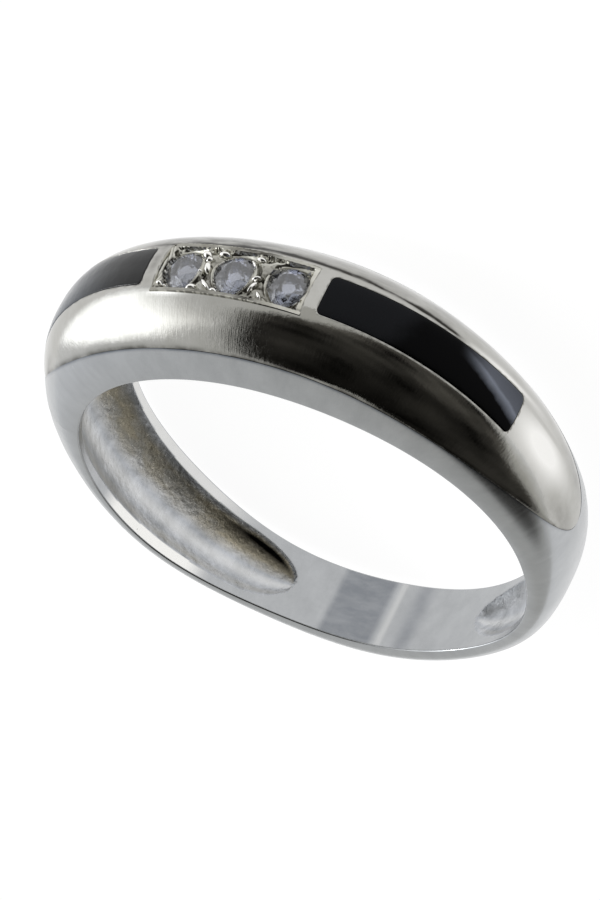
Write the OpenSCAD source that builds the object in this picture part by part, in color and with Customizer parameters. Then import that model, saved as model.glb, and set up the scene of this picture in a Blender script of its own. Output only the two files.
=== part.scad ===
// A tapered silver ring with three small clear stones and two black onyx inlays.
// It lies on one side, with the head towards -Y and the origin under the middle of its box.

/* [Band] */
// Inner diameter, which is the finger size
bore_d = 17; // [15:0.1:21]
// Width along the finger at the head, at the inner edge
head_width = 5.8; // [5:0.1:7]
// Width along the finger at the back of the shank
shank_width = 2.94; // [2.4:0.02:3.6]
// Metal height over the bore at the crown of the head
head_height = 2.87; // [2.7:0.01:3.4]
// Metal height over the bore at the back of the shank
shank_height = 1; // [0.9:0.05:1.5]

/* [Dome] */
// Half width of the raised dome in the middle of the head
dome_half_width = 2.5; // [1.8:0.05:2.6]
// How far the raised dome stands over the sides
dome_rise = 0.35; // [0.1:0.01:0.5]
// Angle from the head at which the dome ends on the right
dome_tip_right = 93; // [75:1:105]
// Angle from the head at which the dome ends on the left
dome_tip_left = 70; // [65:1:105]

/* [Hollow inside the head] */
// Depth of the hollow under the middle of the head
hollow_depth = 1.475; // [1.2:0.005:1.5]
// Angle from the head at which the hollow ends on both sides
hollow_end = 152.7; // [130:0.1:160]
// Width of the plain rim on each side of the hollow
hollow_rim = 0.4; // [0.3:0.05:0.6]
// Width of the hollow at its ends, as a share of the room between the rims
hollow_end_share = 0.9; // [0.6:0.05:1]

/* [Stones] */
// Diameter of each round stone
stone_d = 1.6; // [1.2:0.05:1.6]
// Angle between neighbouring stones
stone_pitch = 10.75; // [10.5:0.05:10.8]
// Half length of the sunk channel, as an angle
channel_half_angle = 15.04; // [15:0.01:15.4]
// Half width of the sunk channel
channel_half_width = 1.015; // [1:0.005:1.1]
// Depth of the channel floor under the crown
channel_depth = 0.36; // [0.3:0.01:0.4]
// Radius of the beads between the stones
bead_r = 0.19; // [0.12:0.01:0.19]
// Radius of the beads in the channel's corners
corner_bead_r = 0.15; // [0.1:0.01:0.15]

/* [Onyx] */
// Angle from the head at which each inlay starts
onyx_start = 17.87; // [17:0.01:19]
// Angle from the head at which each inlay ends
onyx_end = 59.6; // [50:0.1:60]
// Half width of each inlay's pocket
onyx_half_width = 0.815; // [0.6:0.005:0.85]
// Depth of the pockets under the crown
onyx_depth = 0.6; // [0.4:0.05:0.8]
// Gap left round each inlay and stone
fit_gap = 0.03; // [0.02:0.005:0.05]

/* [Hidden] */

bore_r = bore_d / 2;
silver = [0.8, 0.8, 0.78];
onyx_black = [0.06, 0.06, 0.07];
clear_stone = [0.8, 0.85, 0.92];

// Control sections every 30 degrees from the head round to the back of the shank.
// A smooth spline passes close to them, and both sides of the ring are alike.
section_step = 30;
WIDTH_SHARE = 0;
HEIGHT_SHARE = 1;
FULLNESS = 2;
SECTIONS = [
    // width share, height share, fullness of the side
    [1.02, 0.86, 2.05],
    [0.96, 1.11, 2.05],
    [0.69, 0.71, 2.05],
    [0.46, 0.17, 2.10],
    [0.39, -0.04, 2.60],
    [-0.08, -0.03, 3.20],
    [0.04, 0.07, 3.40],
];
turn_rows = 360 / section_step;
last_row = len(SECTIONS) - 1;

// Mesh of the outer form
section_count = 80;
side_steps = 4;
dome_steps = 12;
inner_skin = 0.5;
least_dome_share = 0.3;
lens_power = 2.8;

// Cutters and seats
wide = 40;
cutter_sides = 180;
bead_sides = 32;
seat_over = 0.08;
bead_lift = 0.08;
bead_out = 0.66;
bead_aside = 0.24;
corner_bead_out = 0.8;
corner_bead_along = 2.64;
inlay_axis_shift = 1.15;

// Proportions of a round stone, as shares of its diameter
table_share = 0.56;
star_share = 0.8;
star_height = 0.62;
crown_share = 0.15;
girdle_share = 0.03;
pavilion_share = 0.43;
girdle_sides = 16;

function row_of(k) =
    let (m = (k % turn_rows + turn_rows) % turn_rows) m <= last_row ? m : turn_rows - m;

// Value of one column of SECTIONS at an angle, by the uniform cubic spline
function spline(column, angle) =
    let (
        u = angle / section_step,
        i = floor(u),
        f = u - i,
        w = [pow(1 - f, 3), 3 * pow(f, 3) - 6 * f * f + 4, 1 + 3 * f + 3 * f * f - 3 * pow(f, 3), pow(f, 3)]
    )
    (w[0] * SECTIONS[row_of(i - 1)][column] + w[1] * SECTIONS[row_of(i)][column]
        + w[2] * SECTIONS[row_of(i + 1)][column] + w[3] * SECTIONS[row_of(i + 2)][column]) / 6;

function half_width(a) = (shank_width + (head_width - shank_width) * spline(WIDTH_SHARE, a)) / 2;
function crown_height(a) = shank_height + (head_height - shank_height) * spline(HEIGHT_SHARE, a);

// 1 in the middle of the dome, falling to 0 at its tips
function dome_share(a) =
    let (x = abs(a) / (a > 0 ? dome_tip_right : dome_tip_left))
    x < 1 ? sqrt(1 - pow(x, lens_power)) : 0;
function dome_edge(a) = dome_half_width * dome_share(a);

// Height of the outer surface over the bore at a place on the ring: a full-sided band
// with the dome on it as a low half ellipse
function skin_height(a, z) =
    let (
        n = spline(FULLNESS, a),
        rise = dome_rise * dome_share(a),
        across = min(1, abs(z) / half_width(a)),
        on_dome = dome_share(a) > 0 ? 1 - pow(z / dome_edge(a), 2) : 0
    )
    (crown_height(a) - rise) * pow(1 - pow(across, n), 1 / n) + rise * sqrt(max(0, on_dome));

function place(r, a, z) = [-r * sin(a), -r * cos(a), z];

// Heights across one section, over the near side, the dome and the far side. The inner edge
// itself has no corner: the bore cuts it between the inner skin and the first side point.
function dome_mesh_edge(a) = max(dome_edge(a), least_dome_share * half_width(a));
function side_z(a, k) =
    let (n = spline(FULLNESS, a), h = half_width(a), turn = acos(pow(dome_mesh_edge(a) / h, n / 2)))
    h * pow(cos(turn * k / side_steps), 2 / n);
function across_section(a) = [
    for (k = [1:side_steps - 1]) side_z(a, k),
    for (k = [0:dome_steps]) dome_mesh_edge(a) * cos(180 * k / dome_steps),
    for (k = [side_steps - 1:-1:1]) -side_z(a, k)
];
function section_points(a) =
    let (h = half_width(a)) [
        place(bore_r - inner_skin, a, h),
        for (z = across_section(a)) place(bore_r + skin_height(a, z), a, z),
        place(bore_r - inner_skin, a, -h)
    ];

// The outer form, a closed loop of sections whose inner wall the bore then cuts away
module outer_form() {
    angles = [for (i = [0:section_count - 1]) i * 360 / section_count - 180];
    loops = [for (a = angles) section_points(a)];
    n = len(loops[0]);
    faces = [
        for (i = [0:section_count - 1], j = [0:n - 1])
            let (i2 = (i + 1) % section_count, j2 = (j + 1) % n)
            each [[i * n + j, i2 * n + j, i2 * n + j2], [i * n + j, i2 * n + j2, i * n + j2]]
    ];
    polyhedron(points = [for (loop = loops) each loop], faces = faces);
}

// The hollow's floor is a round wall whose axis is moved towards the head, so that the
// hollow is deep under the head and runs out at its ends
hollow_floor = bore_r + hollow_depth;
hollow_shift = (pow(hollow_floor, 2) - pow(bore_r, 2)) / (2 * (hollow_floor - bore_r * cos(hollow_end)));
hollow_r = hollow_floor - hollow_shift;
hollow_back = bore_r;
hollow_half_front = half_width(0) - hollow_rim;
hollow_half_back = (half_width(hollow_end) - hollow_rim) * hollow_end_share;

module hollow() {
    intersection() {
        translate([0, -hollow_shift, 0])
            cylinder(h = wide, r = hollow_r, center = true, $fn = cutter_sides);
        rotate([0, 90, 0])
            rotate([0, 0, 90])
                linear_extrude(height = wide, center = true)
                    polygon([
                        [-hollow_floor, hollow_half_front],
                        [hollow_back, hollow_half_back],
                        [hollow_back, -hollow_half_back],
                        [-hollow_floor, -hollow_half_front]
                    ]);
    }
}

// A block that spans the angles from a to b, with flat sides at plus and minus half_w
module span(a, b, half_w) {
    translate([0, 0, -half_w])
        linear_extrude(height = 2 * half_w)
            polygon([
                [0, 0],
                [-wide * sin(a), -wide * cos(a)],
                [-wide * sin(b), -wide * cos(b)]
            ]);
}

// The sunk channel for the stones, with a round floor about the ring's own axis
channel_floor = bore_r + crown_height(0) - channel_depth;
module channel() {
    difference() {
        span(-channel_half_angle, channel_half_angle, channel_half_width);
        cylinder(h = wide, r = channel_floor, center = true, $fn = cutter_sides);
    }
}

// The space of one inlay, made smaller on all sides by gap; side is 1 right, -1 left
inlay_mid = (onyx_start + onyx_end) / 2;
inlay_floor_reach = bore_r + crown_height(inlay_mid) - onyx_depth;
inlay_floor_r = sqrt(pow(inlay_floor_reach, 2) + pow(inlay_axis_shift, 2)
    - 2 * inlay_floor_reach * inlay_axis_shift * cos(inlay_mid));
module inlay_space(side, gap) {
    gap_angle = atan(gap / inlay_floor_reach);
    difference() {
        span(side * (onyx_start + gap_angle), side * (onyx_end - gap_angle), onyx_half_width - gap);
        translate([0, -inlay_axis_shift, 0])
            cylinder(h = wide, r = inlay_floor_r + gap, center = true, $fn = cutter_sides);
    }
}

// Puts its children on the channel floor at an angle along the ring, outwards along +Z
module on_channel_floor(along, out) {
    rotate([0, 0, -along])
        translate([0, -channel_floor, out])
            rotate([90, 0, 0])
                children();
}

// A cone that the stone's lower half fits, carried on a little over the floor
module stone_seat() {
    depth = pavilion_share * stone_d + fit_gap;
    height = depth + seat_over;
    translate([0, 0, -depth])
        cylinder(h = height, r1 = fit_gap, r2 = fit_gap + stone_d / 2 * height / depth, $fn = cutter_sides);
}

module bead(r) {
    translate([0, 0, bead_lift])
        sphere(r = r, $fn = bead_sides);
}

module beads() {
    aside_angle = atan(bead_aside / channel_floor);
    corner_angle = corner_bead_along / channel_floor * 180 / PI;
    for (side = [-1, 1], out = [-1, 1]) {
        for (beside = [-1, 1])
            on_channel_floor(side * stone_pitch / 2 + beside * aside_angle, out * bead_out)
                bead(bead_r);
        on_channel_floor(side * corner_angle, out * corner_bead_out)
            bead(corner_bead_r);
    }
}

module band_metal() {
    union() {
        difference() {
            outer_form();
            cylinder(h = wide, r = bore_r, center = true, $fn = cutter_sides);
            hollow();
            channel();
            for (side = [-1, 1])
                inlay_space(side, 0);
            for (k = [-1:1])
                on_channel_floor(k * stone_pitch, 0)
                    stone_seat();
        }
        beads();
    }
}

module inlay(side) {
    intersection() {
        outer_form();
        inlay_space(side, fit_gap);
    }
}

// One ring of a stone's corners: count of them, share of the diameter, height, turn
function stone_ring(count, share, height, turn) = [
    for (i = [0:count - 1])
        let (a = 360 * i / count + turn)
        [share * stone_d / 2 * cos(a), share * stone_d / 2 * sin(a), height]
];

// A round stone with an eight-sided table, star and kite facets, and a point below.
// Its girdle stands on the channel floor.
module stone_cut() {
    girdle = girdle_share * stone_d;
    crown = crown_share * stone_d;
    m = girdle_sides;
    half_m = m / 2;
    step = 360 / m;
    points = concat(
        stone_ring(half_m, table_share, girdle + crown, 0),
        stone_ring(half_m, star_share, girdle + crown * star_height, step),
        stone_ring(m, 1, girdle, 0),
        stone_ring(m, 1, 0, 0),
        [[0, 0, -pavilion_share * stone_d]]
    );
    star = half_m;
    upper = 2 * half_m;
    lower = upper + m;
    culet = lower + m;
    faces = concat(
        [[for (i = [half_m - 1:-1:0]) i]],
        [for (i = [0:half_m - 1]) let (j = (i + 1) % half_m) [j, star + i, i]],
        [for (i = [0:half_m - 1]) [i, star + i, upper + 2 * i]],
        [for (i = [0:half_m - 1]) [i, upper + 2 * i, star + (i + half_m - 1) % half_m]],
        [for (i = [0:half_m - 1]) [star + i, upper + 2 * i + 1, upper + 2 * i]],
        [for (i = [0:half_m - 1]) [star + i, upper + (2 * i + 2) % m, upper + 2 * i + 1]],
        [for (i = [0:m - 1]) [upper + i, upper + (i + 1) % m, lower + (i + 1) % m, lower + i]],
        [for (i = [0:m - 1]) [lower + i, lower + (i + 1) % m, culet]]
    );
    polyhedron(points = points, faces = faces);
}

// At rest the ring stands on the head's inner edge and on the two sides of the shank, at the
// least slope from the head's edge to the shank's
shank_start = 60;
shank_step = 2;
function rest_slope_at(a) = (half_width(0) - half_width(a)) / (bore_r * (1 - cos(a)));
rest_slope = min([for (a = [shank_start:shank_step:180]) rest_slope_at(a)]);
rest_tilt = atan(rest_slope);
rest_lift = half_width(0) * cos(rest_tilt) - bore_r * sin(rest_tilt);
middle_shift = (crown_height(0) - crown_height(180)) / 2 * cos(rest_tilt);
module at_rest() {
    translate([0, middle_shift, rest_lift])
        rotate([-rest_tilt, 0, 0])
            children();
}

module band() {
    color(silver) at_rest() band_metal();
}

module onyx_left() {
    color(onyx_black) at_rest() inlay(-1);
}

module onyx_right() {
    color(onyx_black) at_rest() inlay(1);
}

module set_stone(k) {
    color(clear_stone) at_rest() on_channel_floor(k * stone_pitch, 0) stone_cut();
}

module stone_left() {
    set_stone(-1);
}

module stone_middle() {
    set_stone(0);
}

module stone_right() {
    set_stone(1);
}

band();
onyx_left();
onyx_right();
stone_left();
stone_middle();
stone_right();
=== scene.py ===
"""Looks of the onyx ring: a silver band, two black inlays and three clear stones.

Lengths are in millimetres and angles in degrees in the ring's own axes until a mesh is made:
x to the right as the head is seen with its stones up, y towards the head, z towards the near
side. A place on the ring is (a, z): a is the angle from the head towards the right, z is how
far towards the near side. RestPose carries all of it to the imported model's frame in metres.
"""

import logging
from dataclasses import dataclass
from enum import Enum
from typing import Sequence

import bmesh
import bpy
import numpy as np
from mathutils import Matrix


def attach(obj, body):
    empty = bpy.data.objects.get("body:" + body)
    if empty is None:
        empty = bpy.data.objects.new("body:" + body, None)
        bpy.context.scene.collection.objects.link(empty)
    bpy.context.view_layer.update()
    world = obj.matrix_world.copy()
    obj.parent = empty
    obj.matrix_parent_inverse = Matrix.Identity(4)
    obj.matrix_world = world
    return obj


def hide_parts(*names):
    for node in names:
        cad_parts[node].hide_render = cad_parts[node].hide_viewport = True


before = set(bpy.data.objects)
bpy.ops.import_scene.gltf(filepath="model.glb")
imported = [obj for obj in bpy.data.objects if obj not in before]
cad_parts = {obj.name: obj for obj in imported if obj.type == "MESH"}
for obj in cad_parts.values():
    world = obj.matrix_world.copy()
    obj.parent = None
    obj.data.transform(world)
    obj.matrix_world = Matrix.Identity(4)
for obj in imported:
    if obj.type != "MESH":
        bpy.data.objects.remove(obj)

LOG = logging.getLogger("onyx_ring")
MM = 0.001
QUARTER = np.radians(90.0)
TINY = 1e-9
Array = np.ndarray
# Points of a broken line, as (place, value)
Knots = tuple[tuple[float, float], ...]
# Where something starts or has its middle, how wide it is, and its amount if not 1
Soft = tuple[float, ...]


def srgb(code: str) -> tuple[float, float, float, float]:
    """Turn an sRGB hex colour into linear values.

    Args:
        code: six hex digits.

    Returns:
        Red, green, blue and alpha 1, by the usual sRGB curve.
    """
    c = np.array([int(code[i : i + 2], 16) for i in (0, 2, 4)]) / 255.0
    linear = np.where(c <= 0.04045, c / 12.92, ((c + 0.055) / 1.055) ** 2.4)
    return (*(float(v) for v in linear), 1.0)


def smooth_step(x: Array) -> Array:
    """Ease from 0 to 1: x times x times (3 less twice x), with x held between 0 and 1."""
    t = np.clip(x, 0.0, 1.0)
    return t * t * (3.0 - 2.0 * t)


def ease(x: Array, start: float, width: float, amount: float = 1.0) -> Array:
    """Smooth step from 0 at start to the amount at a width past it."""
    return amount * smooth_step((x - start) / width)


def within(x: Array, first: Array, last: Array, soft: float) -> Array:
    """1 from first to last, with a smooth step of width soft about each end."""
    return smooth_step((x - first) / soft + 0.5) * smooth_step((last - x) / soft + 0.5)


def bell(x: Array, middle: float, width: float, amount: float = 1.0) -> Array:
    """The amount times e to minus the square of the distance from the middle over the width."""
    return amount * np.exp(-(((x - middle) / width) ** 2))


def follow(knots: Knots, x: Array) -> Array:
    """Value at x of the broken line through the knots."""
    return np.interp(x, *np.transpose(knots))


def unit(v: Array) -> Array:
    """Scale vectors on the last axis to length 1."""
    return v / np.linalg.norm(v, axis=-1, keepdims=True)


def aim(azimuth: Array, elevation: Array) -> Array:
    """Directions (sin a cos e, cos a cos e, sin e) in the ring's axes, from angles about it."""
    a, e = np.radians(azimuth), np.radians(elevation)
    return np.stack([np.sin(a) * np.cos(e), np.cos(a) * np.cos(e), np.sin(e)], -1)


# The ring's form


@dataclass(frozen=True)
class RingForm:
    """Sizes and section laws of the ring. Width, height and fullness are the solid model's;
    the dome is more lens-shaped across, and the head's sides are flatter.

    Columns of sections, every 30 degrees from the head to the back: share of the head's extra
    width, share of its extra height, and how full the side is.
    """

    bore_r: float = 8.5
    head_width: float = 5.8
    shank_width: float = 2.94
    head_height: float = 2.87
    shank_height: float = 1.0
    section_step: float = 30.0
    sections: tuple[tuple[float, float, float], ...] = (
        (1.02, 0.86, 2.05),
        (0.96, 1.11, 2.05),
        (0.69, 0.71, 2.05),
        (0.46, 0.17, 2.10),
        (0.39, -0.04, 2.60),
        (-0.08, -0.03, 3.20),
        (0.04, 0.07, 3.40),
    )
    dome_half_width: float = 2.5
    dome_rise: float = 0.35
    tip_right: float = 93.0
    tip_left: float = 70.0
    lens_power: float = 2.8
    dome_power: float = 2.5
    lip_width: float = 0.16
    lip_drop: float = 0.05
    side_flatness: float = 0.6
    shave: float = 0.02
    trim: float = 0.003

    def spline(self, column: int, a: Array) -> Array:
        """Uniform cubic spline over the control sections, alike on both sides.

        Args:
            column: which column of sections.
            a: angles.

        Returns:
            The four nearest controls, weighted by (1-f)^3, 3f^3-6f^2+4, 1+3f+3f^2-3f^3 and
            f^3, all over 6, where f is how far the angle is past its control.
        """
        values = np.array(self.sections)[:, column]
        turn = int(360 / self.section_step)
        u = np.asarray(a, float) / self.section_step
        i = np.floor(u).astype(int)
        f = u - i
        weights = (1 - f) ** 3, 3 * f**3 - 6 * f * f + 4, 1 + 3 * f + 3 * f * f - 3 * f**3, f**3
        total = np.zeros_like(f)
        for k, w in enumerate(weights):
            m = np.mod(i - 1 + k, turn)
            total = total + w * values[np.where(m < len(values), m, turn - m)]
        return total / 6.0

    def half_width(self, a: Array) -> Array:
        """Half of the ring's width along the finger at an angle, a hair inside the solid's."""
        full = self.shank_width + (self.head_width - self.shank_width) * self.spline(0, a)
        return full / 2 - self.shave

    def crown(self, a: Array) -> Array:
        """Height of the metal over the bore in the middle, a hair inside the solid's."""
        full = self.shank_height + (self.head_height - self.shank_height) * self.spline(1, a)
        return full - self.trim

    def reach(self, a: float) -> float:
        """Radius of the outside in the middle at one angle."""
        return self.bore_r + float(self.crown(np.array(a)))

    def dome_share(self, a: Array) -> Array:
        """1 in the middle of the raised dome, falling as a superellipse to 0 at its tips."""
        x = np.minimum(np.abs(a) / np.where(a > 0, self.tip_right, self.tip_left), 1.0)
        return np.sqrt(1.0 - x**self.lens_power)

    def dome_edge(self, a: Array) -> Array:
        """Half width of the dome, whose edge is the crease."""
        return self.dome_half_width * self.dome_share(a)

    def side_height(self, a: Array) -> Array:
        """Tallness of the band's own superellipse, without the dome."""
        return self.crown(a) - self.dome_rise * self.dome_share(a) ** 3

    def skin(self, a: Array, z: Array) -> Array:
        """Height of the dome over the bore. The crease is on the band's superellipse. From
        there the dome rises by 1 less the share of the edge to the power dome_power, and its
        last lip_width before the crease rolls down by lip_drop, as a cube.

        Args:
            a: angles.
            z: sides, within the dome.

        Returns:
            Height at each place.
        """
        n, edge = self.spline(2, a), np.maximum(self.dome_edge(a), TINY)
        across = self.dome_edge(a) / self.half_width(a)
        low = self.side_height(a) * (1.0 - across**n) ** (1.0 / n)
        share = np.minimum(np.abs(z) / edge, 1.0)
        near = np.clip(1.0 - (edge - np.abs(z)) / self.lip_width, 0.0, 1.0)
        dome = low + (self.crown(a) - low) * (1.0 - share**self.dome_power)
        return dome - self.lip_drop * self.dome_share(a) * near**3

    @staticmethod
    def place(r: Array, a: Array, z: Array) -> Array:
        """Point at radius r, angle a and side z, in the ring's axes."""
        r, t, z = np.broadcast_arrays(r, np.radians(a), z)
        return np.stack([r * np.sin(t), r * np.cos(t), z], axis=-1)


@dataclass(frozen=True)
class RestPose:
    """How the ring lies: on the head's inner edge and the two sides of the shank."""

    form: RingForm
    shank_start: float = 60.0
    shank_step: float = 2.0

    def tilt(self) -> float:
        """Rest angle, whose slope is the least one from the head's edge to the shank's.

        Returns:
            The angle in radians.
        """
        a = np.arange(self.shank_start, 180.0 + self.shank_step / 2, self.shank_step)
        run = self.form.bore_r * (1 - np.cos(np.radians(a)))
        drop = self.form.half_width(np.array(0.0)) - self.form.half_width(a)
        return float(np.arctan((drop / run).min()))

    def matrix(self) -> Array:
        """Turn from the ring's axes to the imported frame's: a half turn and then the lean."""
        c, s = np.cos(self.tilt()), np.sin(self.tilt())
        return np.array([[1, 0, 0], [0, c, s], [0, -s, c]]) @ np.diag([-1.0, -1.0, 1.0])

    def shift(self) -> Array:
        """Where the bore's middle is: over the floor by the head's lean, and aside by half of
        what the head is higher than the back.

        Returns:
            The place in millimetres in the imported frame.
        """
        form, t = self.form, self.tilt()
        lift = (form.half_width(np.array(0.0)) + form.shave) * np.cos(t) - form.bore_r * np.sin(t)
        return np.array([0.0, (form.reach(0.0) - form.reach(180.0)) / 2 * np.cos(t), float(lift)])

    def to_frame(self, points: Array) -> Array:
        """Carry points from the ring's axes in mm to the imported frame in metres."""
        return (points @ self.matrix().T + self.shift()) * MM


# Meshes from grids


def link(name: str, mesh: bpy.types.Mesh) -> bpy.types.Object:
    """Put a mesh in the scene as an object at the origin.

    Args:
        name: object name.
        mesh: its mesh.

    Returns:
        The object.
    """
    piece = bpy.data.objects.new(name, mesh)
    bpy.context.scene.collection.objects.link(piece)
    return piece


def give(mesh: bpy.types.Mesh, name: str, kind: str, field: str, values: Array) -> None:
    """Put one value or vector on each point of a mesh as an attribute.

    Args:
        mesh: the mesh.
        name: attribute name.
        kind: Blender's type of the attribute.
        field: what Blender calls its values.
        values: one row for each point.
    """
    layer = mesh.attributes.new(name, kind, "POINT")
    layer.data.foreach_set(field, values.astype(np.float32).ravel())


class Shell:
    """A mesh gathered from grids of points, joined where their edges meet."""

    def __init__(self) -> None:
        """Start with no points."""
        self.points: list[Array] = []
        self.places: list[Array] = []
        self.wears_and_painted_light: list[Array] = []
        self.faces: list[Array] = []
        self.marks: list[Array] = []
        self.count = 0

    def add_grid(
        self, points: Array, places: Array, wear_and_painted_light: Array | float = 0.0, mark: int | Array = 0,
        wrap: bool = True,
    ) -> None:
        """Add a grid of quads.

        Args:
            points: rows by columns by 3.
            places: pattern coordinates in mm of each point.
            wear_and_painted_light: rows by columns of wear and painted light, from -1 a painted
                highlight over 0 and 1 stain and painted shade to 2 painted black shade.
            mark: material number of its faces, one or one for each quad's first point.
            wrap: also join the last column to the first.
        """
        rows, columns = points.shape[:2]
        index = np.arange(rows * columns).reshape(rows, columns) + self.count
        if wrap:
            index = np.hstack([index, index[:, :1]])
        quads = np.stack([index[:-1, :-1], index[1:, :-1], index[1:, 1:], index[:-1, 1:]], -1)
        kinds = np.broadcast_to(mark, (rows, columns))
        self.points.append(points.reshape(-1, 3))
        self.places.append(places.reshape(-1, 3))
        self.wears_and_painted_light.append(np.broadcast_to(wear_and_painted_light, (rows, columns)).reshape(-1))
        self.faces.append(quads.reshape(-1, 4))
        self.marks.append(kinds[:-1, : index.shape[1] - 1].reshape(-1))
        self.count += rows * columns

    def build(
        self, name: str, rest: RestPose, materials: Sequence[bpy.types.Material],
        sharp_angle: float = 38.0, join_gap: float = 2e-7,
    ) -> bpy.types.Object:
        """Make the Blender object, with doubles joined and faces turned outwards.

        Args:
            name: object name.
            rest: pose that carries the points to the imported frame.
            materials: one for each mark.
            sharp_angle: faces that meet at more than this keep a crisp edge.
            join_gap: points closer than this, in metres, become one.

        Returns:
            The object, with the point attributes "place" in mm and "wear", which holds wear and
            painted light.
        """
        co, quads = rest.to_frame(np.vstack(self.points)), np.vstack(self.faces)
        mesh = bpy.data.meshes.new(name)
        mesh.vertices.add(len(co))
        mesh.vertices.foreach_set("co", co.astype(np.float32).ravel())
        mesh.loops.add(quads.size)
        mesh.loops.foreach_set("vertex_index", quads.astype(np.int32).ravel())
        mesh.polygons.add(len(quads))
        mesh.polygons.foreach_set("loop_start", np.arange(0, quads.size, 4, dtype=np.int32))
        mesh.polygons.foreach_set("material_index", np.concatenate(self.marks).astype(np.int32))
        give(mesh, "place", "FLOAT_VECTOR", "vector", np.vstack(self.places))
        # wear and painted light, one value for each point
        give(mesh, "wear_and_painted_light", "FLOAT", "value", np.concatenate(self.wears_and_painted_light))
        mesh.update(calc_edges=True)
        mesh.validate(clean_customdata=False)
        work = bmesh.new()
        work.from_mesh(mesh)
        bmesh.ops.remove_doubles(work, verts=work.verts[:], dist=join_gap)
        bmesh.ops.dissolve_degenerate(work, edges=work.edges[:], dist=join_gap)
        bmesh.ops.recalc_face_normals(work, faces=work.faces[:])
        open_edges = sum(len(e.link_faces) != 2 for e in work.edges)
        if open_edges:
            LOG.warning("%s has %d open edges", name, open_edges)
        work.to_mesh(mesh)
        work.free()
        mesh.polygons.foreach_set("use_smooth", np.ones(len(mesh.polygons), bool))
        mesh.set_sharp_from_angle(angle=np.radians(sharp_angle))
        for material in materials:
            mesh.materials.append(material)
        return link(name, mesh)


def rectangle_loop(a0: float, a1: float, half_z: float, na: int, nz: int) -> Array:
    """Points round a rectangle, from (a0, half_z) along a, down, back and up.

    Args:
        a0: first value of a.
        a1: last value of a.
        half_z: half width, on both sides of 0.
        na: steps along a.
        nz: steps along z.

    Returns:
        2 * (na + nz) points by 2, without the closing one.
    """
    ta, tz = np.arange(na) / na, 1 - 2 * np.arange(nz) / nz
    sides = (
        (a0 + (a1 - a0) * ta, half_z + 0 * ta),
        (a1 + 0 * tz, half_z * tz),
        (a1 + (a0 - a1) * ta, 0 * ta - half_z),
        (a0 + 0 * tz, -half_z * tz),
    )
    return np.vstack([np.stack(side, 1) for side in sides])


def rounded_loop(
    half_s: float, half_z: float, radius: float, inset: float, na: int, nz: int,
    corner: int = 5, least_radius: float = 0.01,
) -> Array:
    """Points round a rectangle with round corners, in step with rectangle_loop. Each side
    spends corner steps on each of its two half corners, an eighth of a circle each, and the
    rest on its straight part.

    Args:
        half_s: half length.
        half_z: half width.
        radius: corner radius.
        inset: how far the loop is drawn inwards.
        na: steps along the length.
        nz: steps along the width.
        corner: steps in half a corner.
        least_radius: no corner gets sharper than this.

    Returns:
        2 * (na + nz) points by 2 about the middle.
    """
    r = max(radius - inset, least_radius)
    turn = QUARTER / 2 * np.arange(corner) / corner

    def side(steps: int, half: float, across: float) -> Array:
        """One side from its first corner's middle to its second corner's, at +across."""
        end, rim = half - r, across - r
        straight = np.linspace(-end, end, steps - 2 * corner + 1)
        start, last = QUARTER / 2 + turn, turn[1:]
        head = np.stack([-end - r * np.cos(start), rim + r * np.sin(start)], 1)
        body = np.stack([straight, across + 0 * straight], 1)
        tail = np.stack([end + r * np.sin(last), rim + r * np.cos(last)], 1)
        return np.vstack([head, body, tail])

    top = side(na, half_s - inset, half_z - inset)
    right = side(nz, half_z - inset, half_s - inset)[:, ::-1] * [1, -1]
    return np.vstack([top, right, -top, -right])


def between(first: Array, second: Array, steps: int) -> Array:
    """Rows of points from one loop to another, both ends included."""
    t = np.linspace(0.0, 1.0, steps + 1)[:, None, None]
    return first * (1 - t) + second * t


# Materials


class Recipe:
    """One material, made node by node."""

    def __init__(self, name: str) -> None:
        """Start a material with no nodes but its output."""
        self.material = bpy.data.materials.new(name)
        self.material.use_nodes = True
        self.tree = self.material.node_tree
        self.tree.nodes.clear()
        self.surface = self.tree.nodes.new("ShaderNodeOutputMaterial").inputs["Surface"]

    def add(
        self, kind: str, inputs: dict | None = None, output: int | str = 0, **settings: object
    ) -> bpy.types.NodeSocket:
        """Add one node with its settings, and give its inputs.

        Args:
            kind: Blender's type name of the node, without ShaderNode.
            inputs: for each named or numbered input, an output socket to link or a value.
            output: which output is wanted.
            **settings: properties of the node.

        Returns:
            The wanted output socket.
        """
        node = self.tree.nodes.new("ShaderNode" + kind)
        for key, value in settings.items():
            setattr(node, key, value)
        for key, value in (inputs or {}).items():
            if isinstance(value, bpy.types.NodeSocket):
                self.tree.links.new(value, node.inputs[key])
            else:
                node.inputs[key].default_value = value
        return node.outputs[output]

    def finish(self, shader: bpy.types.NodeSocket) -> bpy.types.Material:
        """Link the last shader to the surface and return the material."""
        self.tree.links.new(shader, self.surface)
        return self.material


def set_stops(
    ramp: bpy.types.NodeSocket, stops: Sequence[tuple[float, tuple]]
) -> bpy.types.NodeSocket:
    """Set the stops of a colour ramp.

    Args:
        ramp: the ramp's output.
        stops: (position, colour) of each stop.

    Returns:
        The same output.
    """
    elements = ramp.node.color_ramp.elements
    while len(elements) > 1:
        elements.remove(elements[-1])
    elements[0].position, elements[0].color = stops[0]
    for position, colour in stops[1:]:
        elements.new(position).color = colour
    return ramp


class SilverWork(Enum):
    """How a face of the silver was finished."""

    POLISHED = "polished"
    SATIN = "satin"
    CAST = "cast"
    BRIGHT_CUT = "bright_cut"


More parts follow.
